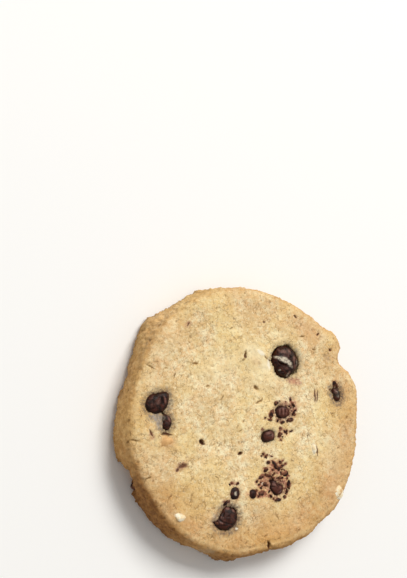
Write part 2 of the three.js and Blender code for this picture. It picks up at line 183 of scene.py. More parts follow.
# Small red-brown marks, in the same way.
MARKS = [
    (-18.5, -10.3, 1.9, 1.1, 12, 1.0), (-19.6, -11.1, 1.1, 0.8, 0, 0.8), (-16.8, 22.6, 1.2, 0.7, 50, 0.7),
    (-26.3, -3.2, 1.5, 0.9, -62, 0.5), (-17.3, -8.3, 0.8, 0.4, 30, 0.5), (-31.9, 5.2, 0.5, 0.5, 0, 0.6),
    (18.4, 6.2, 0.9, 2.3, 0, 0.55), (18.4, -7.0, 0.7, 1.8, 8, 0.5), (12.6, 10.2, 1.2, 0.8, 0, 0.5),
    (22.9, 17.4, 0.6, 0.35, 20, 0.7), (11.0, 24.8, 0.5, 0.3, 0, 0.5), (27.0, -3.6, 0.5, 0.4, 0, 0.6),
]

# Fine strokes on the dough: place, length, width, degrees turned. Many dark and olive ones lie along the
# cracks as painted shade in them.
DARK_STROKES = [
    (18.05, 6.3, 3.4, 0.45, 93), (18.75, 6.2, 2.9, 0.4, 86), (18.5, -7.2, 2.5, 0.36, 98),
    (-26.5, -2.7, 2.1, 0.45, -62), (-18.4, -10.2, 2.4, 1.0, 14), (-19.7, -11.2, 1.1, 0.6, 60),
    (-16.9, 22.6, 1.3, 0.35, 50), (-13.3, -4.8, 1.5, 0.6, -40), (-13.0, -5.4, 0.9, 0.4, 10),
    (-3.1, -7.6, 1.5, 0.6, 12), (15.9, -3.4, 1.3, 0.3, 80), (4.9, -29.4, 1.6, 0.6, -75),
    (-22.2, -2.9, 2.4, 0.35, -14), (3.7, 23.8, 0.7, 0.5, 0), (12.7, 25.5, 1.1, 0.4, -40),
    (19.4, 21.4, 1.0, 0.45, 40), (23.0, 17.6, 0.9, 0.45, 10), (-1.6, 15.3, 0.9, 0.5, 80),
    (-30.0, 14.8, 1.7, 0.35, -20), (5.1, 14.6, 0.8, 0.4, -40), (22.7, 7.8, 1.0, 0.4, 8),
]
OLIVE_STROKES = [
    (-1.7, 16.0, 2.0, 0.55, 78), (-2.2, 14.6, 0.9, 0.6, 20), (4.0, 15.3, 1.7, 0.35, -42),
    (1.3, 8.0, 1.7, 0.8, -35), (2.2, 4.7, 2.2, 0.4, 24), (2.9, 5.2, 1.0, 0.35, 70),
    (-15.0, 13.4, 1.6, 0.4, 5), (-26.6, 12.4, 2.6, 0.35, -28), (-30.3, -4.4, 2.3, 0.35, -8),
    (14.6, 20.7, 1.1, 0.5, 10), (18.0, 17.6, 1.0, 0.5, 0), (-27.0, -12.9, 1.4, 0.35, 20),
    (-8.0, 5.6, 1.2, 0.35, 60), (-5.5, 22.0, 1.3, 0.35, 30), (-9.5, -13.0, 1.2, 0.3, -30),
    (13.5, -18.5, 1.3, 0.35, 25), (11.4, -9.4, 1.2, 0.4, -15), (-12.0, 8.2, 1.0, 0.4, 10),
    (-20.5, 10.5, 1.2, 0.35, 75), (7.2, -22.8, 1.4, 0.3, -50), (-3.0, -2.2, 1.0, 0.3, 35),
]
LIGHT_STROKES = [
    (17.6, -6.7, 2.6, 1.1, 96), (-3.9, -25.1, 0.6, 0.6, 0),
    (3.1, -14.8, 0.7, 0.6, 0), (10.5, -15.5, 0.9, 0.55, 80),
    (4.9, 13.6, 0.8, 2.6, 12), (2.6, 16.4, 2.4, 1.0, -32), (-19.2, -21.6, 2.2, 1.0, -15),
]
FAT_STREAKS = [
    (-25.6, 0.7, 1.7, 0.7, -62), (-24.9, -0.8, 2.0, 0.7, -75), (-24.4, 0.5, 1.4, 0.4, -70),
    (-26.4, -0.2, 1.2, 0.4, -50), (-10.2, -22.0, 1.4, 0.4, 60), (23.0, 6.0, 1.2, 0.35, 80),
]

# A grey darkening of the dough round each chip: strength and width.
HALOS = {
    "chip_whole": (0.42, 0.7), "chip_left": (0.68, 0.95), "chip_left_tail": (0.75, 0.85),
    "chip_lower": (0.7, 1.1), "chip_right": (0.75, 1.0), "chip_upper_chunk": (0.55, 0.6),
    "chip_middle_chunk": (0.45, 0.55), "chip_crumbled": (0.5, 0.5),
}

# Grey fat on the dough beside the chips, as soft spots.
FAT = [
    (-24.8, 0.6, 2.1, 1.4, -10, 1.1), (-24.4, -0.8, 1.5, 1.4, 0, 1.0), (-26.4, 0.9, 1.5, 1.1, 20, 0.7),
    (6.3, 15.9, 0.9, 1.3, -30, 0.6), (6.7, 12.5, 0.8, 0.7, -30, 0.6), (-9.8, -22.3, 1.2, 1.4, 20, 0.5),
    (23.1, 6.2, 0.7, 0.9, 20, 0.8), (-25.2, -1.8, 1.0, 0.7, 0, 0.5), (-21.8, 3.6, 0.5, 2.0, 0, 0.4),
    (24.6, 4.4, 1.2, 0.7, 0, 0.5), (12.9, 11.4, 0.6, 0.5, 0, 0.4), (22.0, 15.8, 1.8, 1.3, 10, 0.28),
]

# Pale and tan places where nuts lie close under the surface, in the same way.
PALE_PLACES = [
    (0.8, 16.2, 4.4, 2.8, -30, 0.75), (3.8, 13.2, 1.7, 2.1, 15, 1.0), (3.0, 12.0, 6.0, 6.0, 0, 0.4),
    (21.0, 20.9, 1.4, 1.0, 0, 0.6), (24.6, -10.0, 4.0, 7.0, 20, 0.4), (-25.0, -9.5, 3.0, 7.0, 20, 0.3),
    (-8.0, 13.0, 8.0, 4.5, 20, 0.32), (11.0, 8.0, 5.0, 3.0, 0, 0.2),
    (-18.6, -22.2, 2.2, 1.4, -10, 0.6), (24.9, -17.0, 2.1, 2.3, 0, 0.6),
    (17.7, -6.8, 1.0, 1.6, 0, 0.8), (18.4, 6.1, 0.5, 1.5, 4, 0.5), (8.0, 20.5, 3.0, 1.5, 10, 0.3),
    (-25.5, 8.5, 2.0, 4.0, 10, 0.3), (-22.5, 17.0, 2.0, 5.0, -40, 0.3),
]
TAN_PLACES = [
    (-22.3, -4.7, 2.4, 1.6, 5, 1.0), (1.1, 14.3, 1.6, 1.1, -30, 0.4), (16.0, 22.0, 5.5, 2.6, -35, 0.6),
    (26.5, 7.5, 2.6, 5.0, 0, 0.4), (27.0, -6.0, 3.0, 6.0, 0, 0.35), (9.0, 23.5, 3.0, 1.6, -10, 0.35),
    (23.5, -18.0, 4.0, 6.0, 35, 0.45), (8.0, -24.0, 9.0, 4.0, 10, 0.4), (-16.8, -23.2, 2.4, 1.4, -20, 0.5),
    (20.0, -9.0, 3.4, 2.2, 20, 0.3), (-18.2, -2.0, 1.3, 1.0, 0, 0.4), (4.5, 24.5, 2.0, 1.0, 0, 0.4),
]

# How golden and how brown the wall is at each number of degrees round the slice, as browning and
# painted shade together: browner on the side turned from the light, palest at the back left.
WALL_BROWNING_AND_SHADE = [
    (-180, 0.68, 0.0), (-166, 0.68, 0.24), (-152, 0.6, 0.88), (-130, 0.6, 0.9), (-112, 0.55, 0.34),
    (-100, 0.6, 0.75), (-62, 0.62, 0.36), (-25, 0.45, 0.12), (60, 0.42, 0.1), (95, 0.42, 0.12),
    (108, 0.4, 0.14), (122, 0.3, 0.0), (145, 0.56, 0.14), (165, 0.68, 0.06), (180, 0.68, 0.0),
]

# A lighter grey patch and a grey flake on the wall: place, length, width, degrees turned.
GREY_WALL_PATCH = [(-11.0, -30.6, 3.6, 3.0, 20)]
FLAKE = [(-2.5, -32.2, 8.0, 3.0, 4)]

# ---- Chocolate and nuts -------------------------------------------------------------------

CHIP_KNIT = 0.11
CHIP_SMOOTHING = 3

# The breadth of each chip that shows, along x and y, as a share of the CAD chip's.
CHIP_TRIMS = {
    "chip_whole": (0.83, 0.87), "chip_left": (1.0, 0.95), "chip_left_tail": (1.2, 1.05),
    "chip_lower": (0.97, 0.92), "chip_right": (0.83, 0.88), "chip_upper_chunk": (0.95, 0.88),
    "chip_middle_chunk": (0.93, 0.94), "chip_crumbled": (0.97, 0.95),
}

# Corners drawn out of the chips: place, reach, how far along x and y.
CHIP_CORNERS = [
    (-23.2, 5.3, 1.5, 0.55, 0.75), (-26.9, 5.4, 1.3, -0.1, 0.3), (-9.0, -24.2, 1.2, -0.5, -0.2),
]

# Chunks of milkier brown than the other chips.
WARM_CHIPS = ("chip_upper_chunk", "chip_middle_chunk", "chip_crumbled")

CHIP_WRINKLE = {"size": 1.1, "height": 0.06, "layers": (0.8, 2.0, 3)}
CHIP_FACET = {"size": 1.7, "width": 0.3, "depth": 0.05}  # creases between the chips' facets
CHIP_RIM_LEANS = (0.3, 0.8)
CHIP_EDGE_LEANS = (0.07, 0.36)
CHIP_CREASING = 0.6  # how much of their depth the creases below have

# Creases in the chips: place, length, width, depth, degrees turned.
CHIP_CREASES = [
    (-24.0, 4.2, 2.3, 0.8, 0.6, -66), (-26.2, 2.7, 1.8, 0.5, 0.3, 30), (-25.6, 5.2, 1.6, 0.4, 0.2, 20),
    (11.4, 16.7, 1.9, 0.6, 0.4, -47), (8.0, 15.8, 0.9, 0.5, 0.3, 0), (10.5, 15.5, 1.3, 0.5, 0.3, -60),
    (8.2, 11.8, 1.8, 0.7, 0.35, 10), (12.3, 14.0, 1.8, 0.4, 0.25, 80), (9.3, 17.4, 0.9, 0.4, 0.3, 70),
    (-7.9, -21.9, 2.4, 0.6, 0.4, 60), (-6.4, -23.9, 2.2, 0.5, 0.35, -15),
    (-8.3, -23.1, 1.6, 0.6, 0.4, -40), (-4.5, -20.9, 1.5, 0.5, 0.3, -50),
    (-4.6, -22.6, 2.2, 0.4, 0.25, 85), (24.0, 6.4, 1.5, 0.5, 0.3, -55), (25.1, 7.1, 1.5, 0.5, 0.3, -70),
    (8.1, 2.2, 2.0, 0.45, 0.3, 86), (9.2, 2.2, 2.2, 0.45, 0.3, 82), (10.0, 2.1, 1.6, 0.4, 0.2, 78),
    (4.8, -3.3, 1.8, 0.5, 0.3, 20), (4.3, -4.4, 1.5, 0.45, 0.25, -20), (6.8, -15.2, 2.0, 0.6, 0.35, -50),
    (7.6, -16.6, 1.8, 0.6, 0.35, 40), (5.6, -15.6, 1.2, 0.4, 0.25, 0), (-22.6, -0.8, 1.2, 0.4, 0.2, 40),
]

# Facets that catch the light, as soft spots.
LIT_FACETS = [
    (8.5, 16.8, 1.2, 0.6, -10, 0.9), (10.4, 16.9, 0.8, 0.5, -30, 0.9), (11.8, 15.0, 0.6, 1.1, 0, 0.8),
    (12.0, 13.4, 0.7, 0.9, 0, 0.5), (10.4, 11.6, 0.5, 0.6, 0, 0.9), (9.0, 12.8, 1.4, 0.5, -10, 0.5),
    (-23.2, 4.7, 0.35, 1.2, 15, 1.0), (-25.1, 4.4, 1.0, 1.0, 0, 0.5), (-22.1, 0.5, 0.4, 0.9, 20, 1.0),
    (-6.5, -20.3, 0.6, 0.4, 0, 1.0), (-5.0, -20.9, 0.8, 0.4, -30, 1.0), (-5.5, -22.6, 0.9, 1.6, 10, 0.3),
    (-8.1, -22.4, 0.4, 0.5, 0, 0.7), (-8.3, -23.5, 0.7, 0.35, -30, 0.8), (24.3, 7.4, 0.7, 0.8, 0, 0.6),
    (7.7, 2.3, 0.25, 1.0, 0, 0.8), (8.7, 2.4, 0.3, 1.1, 0, 1.0), (9.7, 2.2, 0.25, 0.9, 0, 0.8),
    (4.6, -2.9, 1.0, 0.4, 0, 0.8), (5.5, -3.4, 0.4, 0.7, 0, 0.8), (6.1, -15.1, 0.8, 0.4, -30, 0.8),
    (7.7, -15.9, 0.4, 0.6, 0, 0.6), (-26.5, 3.6, 0.5, 0.8, 0, 0.4),
]

# Pale smears of fat on the chips, with painted sheen and highlights among them, as soft spots.
SMEARS_AND_SHEEN = [
    (7.3, 15.3, 1.2, 0.5, -8, 0.8), (8.7, 14.8, 1.5, 0.85, -18, 1.0), (10.2, 14.0, 1.2, 0.7, -42, 0.95),
    (11.0, 13.2, 0.6, 0.4, -60, 0.5), (12.9, 14.2, 0.5, 1.1, 0, 0.35), (10.2, 11.2, 0.5, 0.8, 0, 0.5),
    (9.6, 17.0, 2.6, 1.1, -10, 0.16), (11.6, 15.4, 1.0, 1.6, 10, 0.14), (24.7, 6.9, 1.1, 1.7, 10, 0.24),
    (-24.3, 0.2, 1.0, 1.6, 0, 0.6), (-23.5, 0.9, 0.5, 1.0, 10, 0.4), (25.0, 6.1, 0.6, 0.4, -60, 0.3),
    (23.3, 6.5, 0.6, 0.7, 0, 0.5), (7.8, 12.3, 0.4, 0.3, 0, 0.6), (-4.5, -16.9, 0.4, 0.6, 0, 0.9),
]

# Crumbs fused to the dough: place, size along and across, degrees turned.
CRUMBS = [
    (-7.0, -19.1, 1.6, 0.9, 35),
    (-9.4, -23.6, 1.7, 0.8, -30), (24.1, 9.3, 1.4, 1.0, -40),
    (5.5, 1.7, 2.3, 1.2, 62), (5.0, 0.5, 1.2, 0.6, -30), (7.0, 4.3, 1.2, 0.7, 15),
    (11.8, 3.8, 1.7, 0.7, -50), (11.8, 1.9, 1.1, 1.0, 0), (10.9, 0.3, 1.8, 0.8, 12),
    (8.6, -0.3, 1.2, 0.6, 0), (8.1, -1.8, 0.8, 0.7, 80), (7.8, -3.3, 1.2, 1.0, 80),
    (9.6, -2.5, 1.4, 0.9, -40), (6.4, -10.5, 2.4, 1.4, -35), (7.4, -11.3, 1.3, 0.8, -40),
    (4.7, -9.8, 1.3, 0.7, 10), (7.8, -9.8, 1.0, 0.8, -30), (3.7, -11.5, 1.6, 1.0, 20),
    (8.4, -10.7, 1.1, 0.7, 30), (9.2, -12.3, 2.4, 1.5, -15), (4.6, -12.9, 1.9, 1.5, -20),
    (2.9, -13.1, 1.7, 0.9, 28), (7.6, -13.6, 1.0, 0.7, 0), (10.4, -15.2, 1.9, 1.6, 75),
    (3.9, -14.9, 1.5, 1.3, 0), (9.9, -16.7, 0.9, 0.7, 80), (3.0, -17.0, 2.2, 1.0, 0),
    (5.0, -17.8, 1.2, 0.8, -15), (7.1, -18.7, 2.0, 0.7, 0), (9.3, -18.0, 1.0, 0.6, 25),
]
FINE_CRUMBS = [
    (11.0, 5.3, 0.5, 0.8, 10), (12.4, 2.6, 0.7, 0.5, 20), (7.5, 0.1, 0.9, 0.6, 30),
    (12.2, 1.4, 0.7, 0.4, 60), (3.8, 0.8, 0.5, 0.3, 0), (11.3, -2.4, 1.0, 0.35, 15),
    (8.2, -4.4, 0.8, 0.5, 0), (2.9, -2.0, 0.5, 0.4, 0), (3.3, -7.8, 0.6, 0.5, 0),
    (4.0, -8.4, 0.9, 0.5, 40), (5.5, -8.4, 0.6, 0.3, 0), (8.6, -9.4, 0.5, 0.5, 0),
    (5.9, -11.7, 0.9, 0.5, 20), (9.9, -13.7, 0.7, 0.5, 60), (8.6, -13.6, 0.5, 0.4, 0),
    (1.5, -14.2, 0.9, 0.5, 20), (2.0, -15.0, 0.7, 0.4, 0), (2.6, -15.8, 0.8, 0.4, -15),
    (2.7, -14.4, 0.6, 0.35, 10), (1.9, -17.7, 0.8, 0.5, 20), (1.3, -16.4, 0.6, 0.4, 0),
    (6.1, -12.7, 0.6, 0.4, 0), (5.3, -14.0, 0.6, 0.5, 0), (-5.4, -14.5, 0.7, 0.35, 10),
    (-4.0, -14.8, 0.5, 0.4, 0), (-6.1, -18.7, 0.5, 0.4, 0), (9.4, -10.2, 0.6, 0.4, 0),
    (10.3, -13.0, 0.5, 0.4, 0), (9.6, -17.4, 0.5, 0.4, 0), (6.0, -18.4, 0.5, 0.4, 0),
]
CRUMB_SEED = 3
CRUMB_CORNERS = 11
CRUMB_PROUD = 0.46
CRUMB_STAIN = 0.36  # how far past a crumb its stain goes
CRUMB_SPREAD = 1.34  # makes up for a hull that is smaller than its oval
CRUMB_ROUGHNESS = 0.2
CRUMB_FULLNESS = 0.2
CRUMB_CUTS = 2
CRUMB_RISE = 0.22
FINE_CRUMB_RISE = 0.24
STREWN_RISE = 0.14
ROUGHNESS_SIZE = 0.55

# Where finer crumbs lie strewn: middle, reach along and across, degrees turned, count.
STREWN = [
    (6.4, -12.2, 2.9, 3.4, 0, 26), (5.6, -15.4, 4.8, 2.3, 0, 34), (8.9, 2.0, 4.0, 3.4, 20, 26),
    (9.2, -2.9, 2.4, 1.2, 10, 9), (4.6, -8.3, 2.2, 0.8, -10, 6), (-5.0, -14.8, 1.5, 0.6, 0, 4),
    (24.3, 8.6, 0.9, 1.0, 0, 4), (0.4, -17.0, 1.9, 1.5, 0, 7), (-18.4, -9.6, 1.8, 1.4, 20, 7),
]
STREWN_SIZE = (0.28, 0.75)
STREWN_STRETCH = (1.0, 1.8)
STREWN_OUTWARDS = 0.6  # below 1, more of them lie near the edge of their oval

# Rounded drops of chocolate: place, size along and across, degrees turned, depth of the dimple.
DROPS = [(-4.5, -16.9, 2.75, 3.0, 0, 0.5), (0.3, -17.1, 2.3, 2.1, 80, 0.1)]
DROP_HEIGHT = 1.5
DROP_SUNK = 0.45  # how far a drop's middle lies under the dough's surface
DIMPLE = {"width": 0.22, "depth": 0.5}  # shares of the drop
DROP_UNEVENNESS = {"size": 3.0, "share": 0.12}

# The bit of chocolate in the wall of the large bite: degrees round, distance, height and size.
WALL_CHIP = (-151.2, 31.0, 2.2, 1.9)

# Chopped nuts: place, size along and across, degrees turned, height over the dough, and how
# toasted, from 0 to 1.
NUTS = [
    (-22.4, -4.7, 4.4, 3.2, 8, 0.12, 1.0), (-19.0, -21.9, 3.6, 2.4, -15, 0.25, 0.05),
    (25.1, -17.4, 4.0, 3.6, 60, 0.5, 0.0), (17.6, -6.7, 2.6, 1.1, 96, 0.15, 0.0),
]
NUT_SEED = 5
NUT_CORNERS = 15
NUT_FULLNESS = 0.35
NUT_CUTS = 3
NUT_RISE = 0.06
NUT_DEPTH = 0.6  # how deep a nut lies in the dough, of its size across


def shade(name):
    """One of COLOURS, as the shader's linear colour."""
    channels = [c / 255 for c in COLOURS[name]]
    linear = [c / 12.92 if c <= 0.04045 else ((c + 0.055) / 1.055) ** 2.4 for c in channels]
    return (*linear, 1.0)


def frame_xy(x, y):
    """A place on the slice, in the frame's metres."""
    return x * MM + SLICE_MIDDLE.x, y * MM + SLICE_MIDDLE.y


# ---- Making pieces ------------------------------------------------------------------------


def new_piece(name, bm):
    mesh = bpy.data.meshes.new(name)
    bm.to_mesh(mesh)
    bm.free()
    piece = bpy.data.objects.new(name, mesh)
    bpy.context.scene.collection.objects.link(piece)
    return piece


def dress(piece, material, slot, *nodes):
    """The piece gets its material and rides with the cookie in the place of its CAD nodes."""
    piece.data.materials.clear()
    piece.data.materials.append(material)
    for face in piece.data.polygons:
        face.use_smooth = True
    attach(piece, BODY)
    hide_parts(*nodes)


def cad_copy(node):
    bm = bmesh.new()
    bm.from_mesh(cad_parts[node].data)
    bmesh.ops.remove_doubles(bm, verts=bm.verts, dist=WELD * MM)
    return bm


def knit(piece, size):
    """Gives the piece even faces of one size."""
    remesh = piece.modifiers.new("knit", "REMESH")
    remesh.mode = "VOXEL"
    remesh.voxel_size = size * MM
    evaluated = piece.evaluated_get(bpy.context.evaluated_depsgraph_get())
    even = bpy.data.meshes.new_from_object(evaluated)
    piece.modifiers.clear()
    piece.data = even


def soften(bm):
    """Draws each corner half way towards its neighbours."""
    bmesh.ops.smooth_vert(
        bm, verts=bm.verts, factor=0.5, use_axis_x=True, use_axis_y=True, use_axis_z=True
    )
    bm.normal_update()


def smoothed(piece, rounds):
    bm = bmesh.new()
    bm.from_mesh(piece.data)
    for _ in range(rounds):
        soften(bm)
    return bm


def mark(piece, name, values):
    """Stores a number for each vertex, which the material reads by its name."""
    layer = piece.data.attributes.new(name, "FLOAT", "POINT")
    layer.data.foreach_set("value", np.asarray(values, dtype=np.float32))


def slice_places(piece):
    """Each vertex's place on the slice, in millimetres, as columns x, y, z."""
    co = np.empty(len(piece.data.vertices) * 3, dtype=np.float32)
    piece.data.vertices.foreach_get("co", co)
    return (co.reshape(-1, 3) - np.array(SLICE_MIDDLE)) / MM


def ramp(value, low, high):
    """0 below low, 1 above high and smooth between."""
    t = np.clip((value - low) / (high - low), 0.0, 1.0)
    return t * t * (3 - 2 * t)


def soft_spots(places, spots):
    """How strongly soft round spots cover each place."""
    cover = np.zeros(len(places))
    for x, y, along, across, degrees, strength in spots:
        turn = math.radians(degrees)
        dx = places[:, 0] - x
        dy = places[:, 1] - y
        u = (dx * math.cos(turn) + dy * math.sin(turn)) / along
        v = (dy * math.cos(turn) - dx * math.sin(turn)) / across
        cover = np.maximum(cover, strength * np.exp(-SPOT_FALL * (u * u + v * v) ** SPOT_POWER))
    return cover


# ---- The dough ----------------------------------------------------------------------------


def broken(p, relief):
    """The height of a broken relief at p, in millimetres."""
    return relief["height"] * noise.fractal(p / relief["size"], *relief["layers"])


def grain_lift(p):
    """Sandy relief at p, in millimetres: rounded grains with broken crumb over them."""
    distances, _ = noise.voronoi(p / GRAIN["size"])
    grains = GRAIN["height"] * (GRAIN["level"] - distances[0])
    wave = UNDULATION["height"] * noise.noise(p / UNDULATION["size"])
    return grains + broken(p, CRUMB) + wave


def pore_depth(p):
    """Depth of the small drawn-out pores at p."""
    turn = math.radians(PORE["turn"])
    along = (p.x * math.cos(turn) + p.y * math.sin(turn)) / PORE["stretch"]
    across = p.y * math.cos(turn) - p.x * math.sin(turn)
    value = noise.noise(Vector((along, across, p.z)) / PORE["size"] + PORE_SHIFT)
    share = min(max((value - PORE["from"]) / (PORE["to"] - PORE["from"]), 0.0), 1.0)
    return PORE["depth"] * share


def groove_depth(p, grooves):
    """How deep the deepest groove is at p, seen from above."""
    deepest = 0.0
    for x, y, length, width, depth, degrees in grooves:
        dx = p.x - x
        dy = p.y - y
        if abs(dx) + abs(dy) > length:
            continue
        turn = math.radians(degrees)
        u = abs(dx * math.cos(turn) + dy * math.sin(turn)) / (length / 2)
        v = abs(dy * math.cos(turn) - dx * math.sin(turn)) / (width / 2)
        deepest = max(deepest, depth * (1 - u * u - v))
    return deepest


def close_round_chips(bm):
    """Moves the dough near each chip up to it, so that no gap shows round it.

    Returns how strongly each vertex of the dough is darkened round the chips.
    """
    darkened = [0.0] * len(bm.verts)
    for node, (strength, width) in HALOS.items():
        chip = BVHTree.FromPolygons(*mesh_faces(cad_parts[node].data))
        for i, v in enumerate(bm.verts):
            nearest, _, _, distance = chip.find_nearest(v.co, HALO_REACH * MM)
            if not distance:
                continue
            off = max(distance / MM - SNUG["gap"], 0.0)
            darkened[i] = max(darkened[i], strength * math.exp(-((off / width) ** 2)))
            if distance > SNUG["reach"] * MM:
                continue
            share = off / (SNUG["reach"] - SNUG["gap"])
            wanted = SNUG["left"] + (SNUG["reach"] - SNUG["left"]) * share
            v.co = nearest + (v.co - nearest) * (wanted * MM / distance)
    return darkened


def fuller_shoulder(steepness):
    """How far the rim's shoulder stands out where the surface leans by steepness degrees."""
    return SHOULDER["height"] * math.exp(-(((steepness - SHOULDER["at"]) / SHOULDER["spread"]) ** 2))


def lift_at(p, up):
    """How far the dough stands out at p, in millimetres, and how deep a hole is there."""
    steepness = math.degrees(math.acos(min(max(up, -1.0), 1.0)))
    hollow = pore_depth(p) + (groove_depth(p, CRACKS) if up > FACES_UP else 0.0)
    wall = min(max((steepness - WALL_LEAN["from"]) / WALL_LEAN["over"], 0.0), 1.0)
    lift = grain_lift(p) + wall * broken(p, RAGGED) - hollow
    if up > 0 and math.hypot(p.x, p.y) > RADIUS - RIM_WIDTH:
        lift += fuller_shoulder(steepness)
    if up < FACES_DOWN:
        lift = min(lift / 2, 0.0)
    return lift, hollow


def baked_dough():
    """The slice with its relief, sunk a little under the crumbs of chocolate."""
    piece = new_piece("shortbread", cad_copy("dough"))
    knit(piece, DOUGH_KNIT)
    bm = smoothed(piece, DOUGH_SMOOTHING)
    bm.verts.ensure_lookup_table()
    halo = close_round_chips(bm)
    bm.normal_update()
    places = np.array([(v.co - SLICE_MIDDLE) / MM for v in bm.verts])
    bed = CRUMB_BED * soft_spots(places, crumb_spots()) * ramp(places[:, 2], *TOP_HEIGHTS)
    ups = [v.normal.z for v in bm.verts]
    moves = []
    hollows = []
    for v, sunk in zip(bm.verts, bed):
        lift, hollow = lift_at((v.co - SLICE_MIDDLE) / MM, v.normal.z)
        moves.append(v.normal * ((lift - sunk) * MM))
        hollows.append(hollow)
    for v, move in zip(bm.verts, moves):
        v.co += move
        v.co.z = max(v.co.z, 0.0)
    bm.to_mesh(piece.data)
    bm.free()
    mark_baking(piece, hollows, np.array(halo), np.array(ups))
    return piece


def wall_browning_and_shade(angle):
    """How golden and how brown the wall is at each angle, in degrees, with its painted shade."""
    degrees, golden, brown = zip(*WALL_BROWNING_AND_SHADE)
    return np.interp(angle, degrees, golden), np.interp(angle, degrees, brown)


def crumb_spots():
    """The stain round each crumb of chocolate, as soft spots."""
    drops = [drop[:5] for drop in DROPS]
    return [
        (x, y, along / 2 + CRUMB_STAIN, across / 2 + CRUMB_STAIN, degrees, 1.0)
        for x, y, along, across, degrees in CRUMBS + FINE_CRUMBS + drops
    ]


def mark_baking(piece, hollows, halo, ups):
    """Where the dough browned, where chocolate and nuts colour it, and where highlight and shade are
    painted on it.
    """
    places = slice_places(piece)
    x, y, z = places.T
    reach = np.hypot(x, y)
    angle = np.degrees(np.arctan2(y, x))
    lean = 1 - ups
    far_side = 0.5 - 0.5 * np.cos(np.radians(angle - EDGE_BROWNING["palest"]))
    browning = EDGE_BROWNING["least"] + EDGE_BROWNING["more"] * far_side
    outer = ramp(reach, *OUTER_REACHES)
    wall = outer * ramp(lean, *WALL_LEANS)
    # A painted highlight along the rim's shoulder.
    shoulder = outer * ramp(lean, *SHOULDER_STARTS) * (1 - ramp(lean, *SHOULDER_ENDS))
    golden, brown = wall_browning_and_shade(angle)
    above = ramp(z, *TOP_HEIGHTS)
    mark(piece, "browning", ramp(reach, *EDGE_REACHES) * browning)
    mark(piece, "golden", wall * golden)
    # The wall's browning and painted shade, by degrees round the slice.
    mark(piece, "wall", wall * brown)
    mark(piece, "shoulder", shoulder)
    # Darker towards the foot: browning with painted contact shade.
    mark(piece, "foot", wall * (1 - ramp(z, *FOOT_HEIGHTS)))
    mark(piece, "under", 1 - ramp(z, *UNDER_HEIGHTS))
    mark(piece, "stain", soft_spots(places, STAINS) * above)
    mark(piece, "crumbed", soft_spots(places, crumb_spots()) * above)
    mark(piece, "marks", soft_spots(places, MARKS))
    mark(piece, "fat", soft_spots(places, FAT) * above)
    mark(piece, "halo", halo)
    mark(piece, "pale", soft_spots(places, PALE_PLACES) * above)
    mark(piece, "tan", soft_spots(places, TAN_PLACES) * above)
    mark(piece, "top", above)
    # Depth of pores and cracks, which the material darkens as painted shade.
    mark(piece, "hollow", hollows)


# ---- Chocolate ----------------------------------------------------------------------------


def facet_crease(p):
    """Depth of the creases between the facets of set chocolate at p."""
    distances, _ = noise.voronoi(p / CHIP_FACET["size"])
    share = max(1 - (distances[1] - distances[0]) / CHIP_FACET["width"], 0.0)
    return CHIP_FACET["depth"] * share


def corner_pull(p):
    """How far the chip's corners are drawn out at p, in millimetres."""
    pull = Vector()
    for x, y, reach, along_x, along_y in CHIP_CORNERS:
        share = math.exp(-(((p.x - x) ** 2 + (p.y - y) ** 2) / reach**2))
        pull += share * Vector((along_x, along_y, 0))
    return pull


def chocolate_chip(node):
    """A chip with the facets and fine wrinkles of chocolate that melted and set."""
    bm = cad_copy(node)
    middle = sum((v.co for v in bm.verts), Vector()) / len(bm.verts)
    bmesh.ops.scale(
        bm, vec=(*CHIP_TRIMS[node], 1.0), verts=bm.verts, space=Matrix.Translation(-middle)
    )
    piece = new_piece(node + "_set", bm)
    knit(piece, CHIP_KNIT)
    bm = smoothed(piece, CHIP_SMOOTHING)
    lean = 1 - np.array([v.normal.z for v in bm.verts])
    moves = []
    creases = []
    for v in bm.verts:
        p = (v.co - SLICE_MIDDLE) / MM
        crease = facet_crease(p) + CHIP_CREASING * groove_depth(p, CHIP_CREASES)
        moves.append((v.normal * (broken(p, CHIP_WRINKLE) - crease) + corner_pull(p)) * MM)
        creases.append(crease)
    for v, move in zip(bm.verts, moves):
        v.co += move
    bm.to_mesh(piece.data)
    bm.free()
    mark_bloom_and_sheen(piece)
    # Crease depth, which the material darkens as painted shade.
    mark(piece, "crease", creases)
    mark(piece, "lit", soft_spots(slice_places(piece), LIT_FACETS))
    mark(piece, "rim", ramp(lean, *CHIP_RIM_LEANS))
    mark(piece, "edge", ramp(lean, *CHIP_EDGE_LEANS))
    mark(piece, "warm", np.full(len(lean), node in WARM_CHIPS))
    return piece


def mark_bloom_and_sheen(piece):
    mark(piece, "bloom_and_sheen", soft_spots(slice_places(piece), SMEARS_AND_SHEEN))


def shard(bm, place, sizes, degrees, draw, count=CRUMB_CORNERS):
    """A broken piece: the hull of count points strewn over an oval ball."""
    turn = Matrix.Rotation(math.radians(degrees), 3, "Z")
    corners = []
    for _ in range(count):
        way = Vector((draw.gauss(0, 1), draw.gauss(0, 1), draw.gauss(0, 1))).normalized()
        at = Vector([w * size / 2 for w, size in zip(way, sizes)]) * MM
        corners.append(bm.verts.new(place + turn @ at))
    bmesh.ops.convex_hull(bm, input=corners)
    loose = [v for v in corners if v.is_valid and not v.link_faces]
    bmesh.ops.delete(bm, geom=loose, context="VERTS")


def rounded(bm, cuts, fullness, roughness=0.0):
    """Finer faces on every shard, blown out by its fullness, then smoothed and roughened."""
    bmesh.ops.subdivide_edges(bm, edges=bm.edges, cuts=cuts, use_grid_fill=True, smooth=fullness)
    bmesh.ops.triangulate(bm, faces=bm.faces)
    soften(bm)
    for v in bm.verts:
        v.co += v.normal * (roughness * MM * noise.noise(v.co / (ROUGHNESS_SIZE * MM)))
    bmesh.ops.recalc_face_normals(bm, faces=bm.faces)


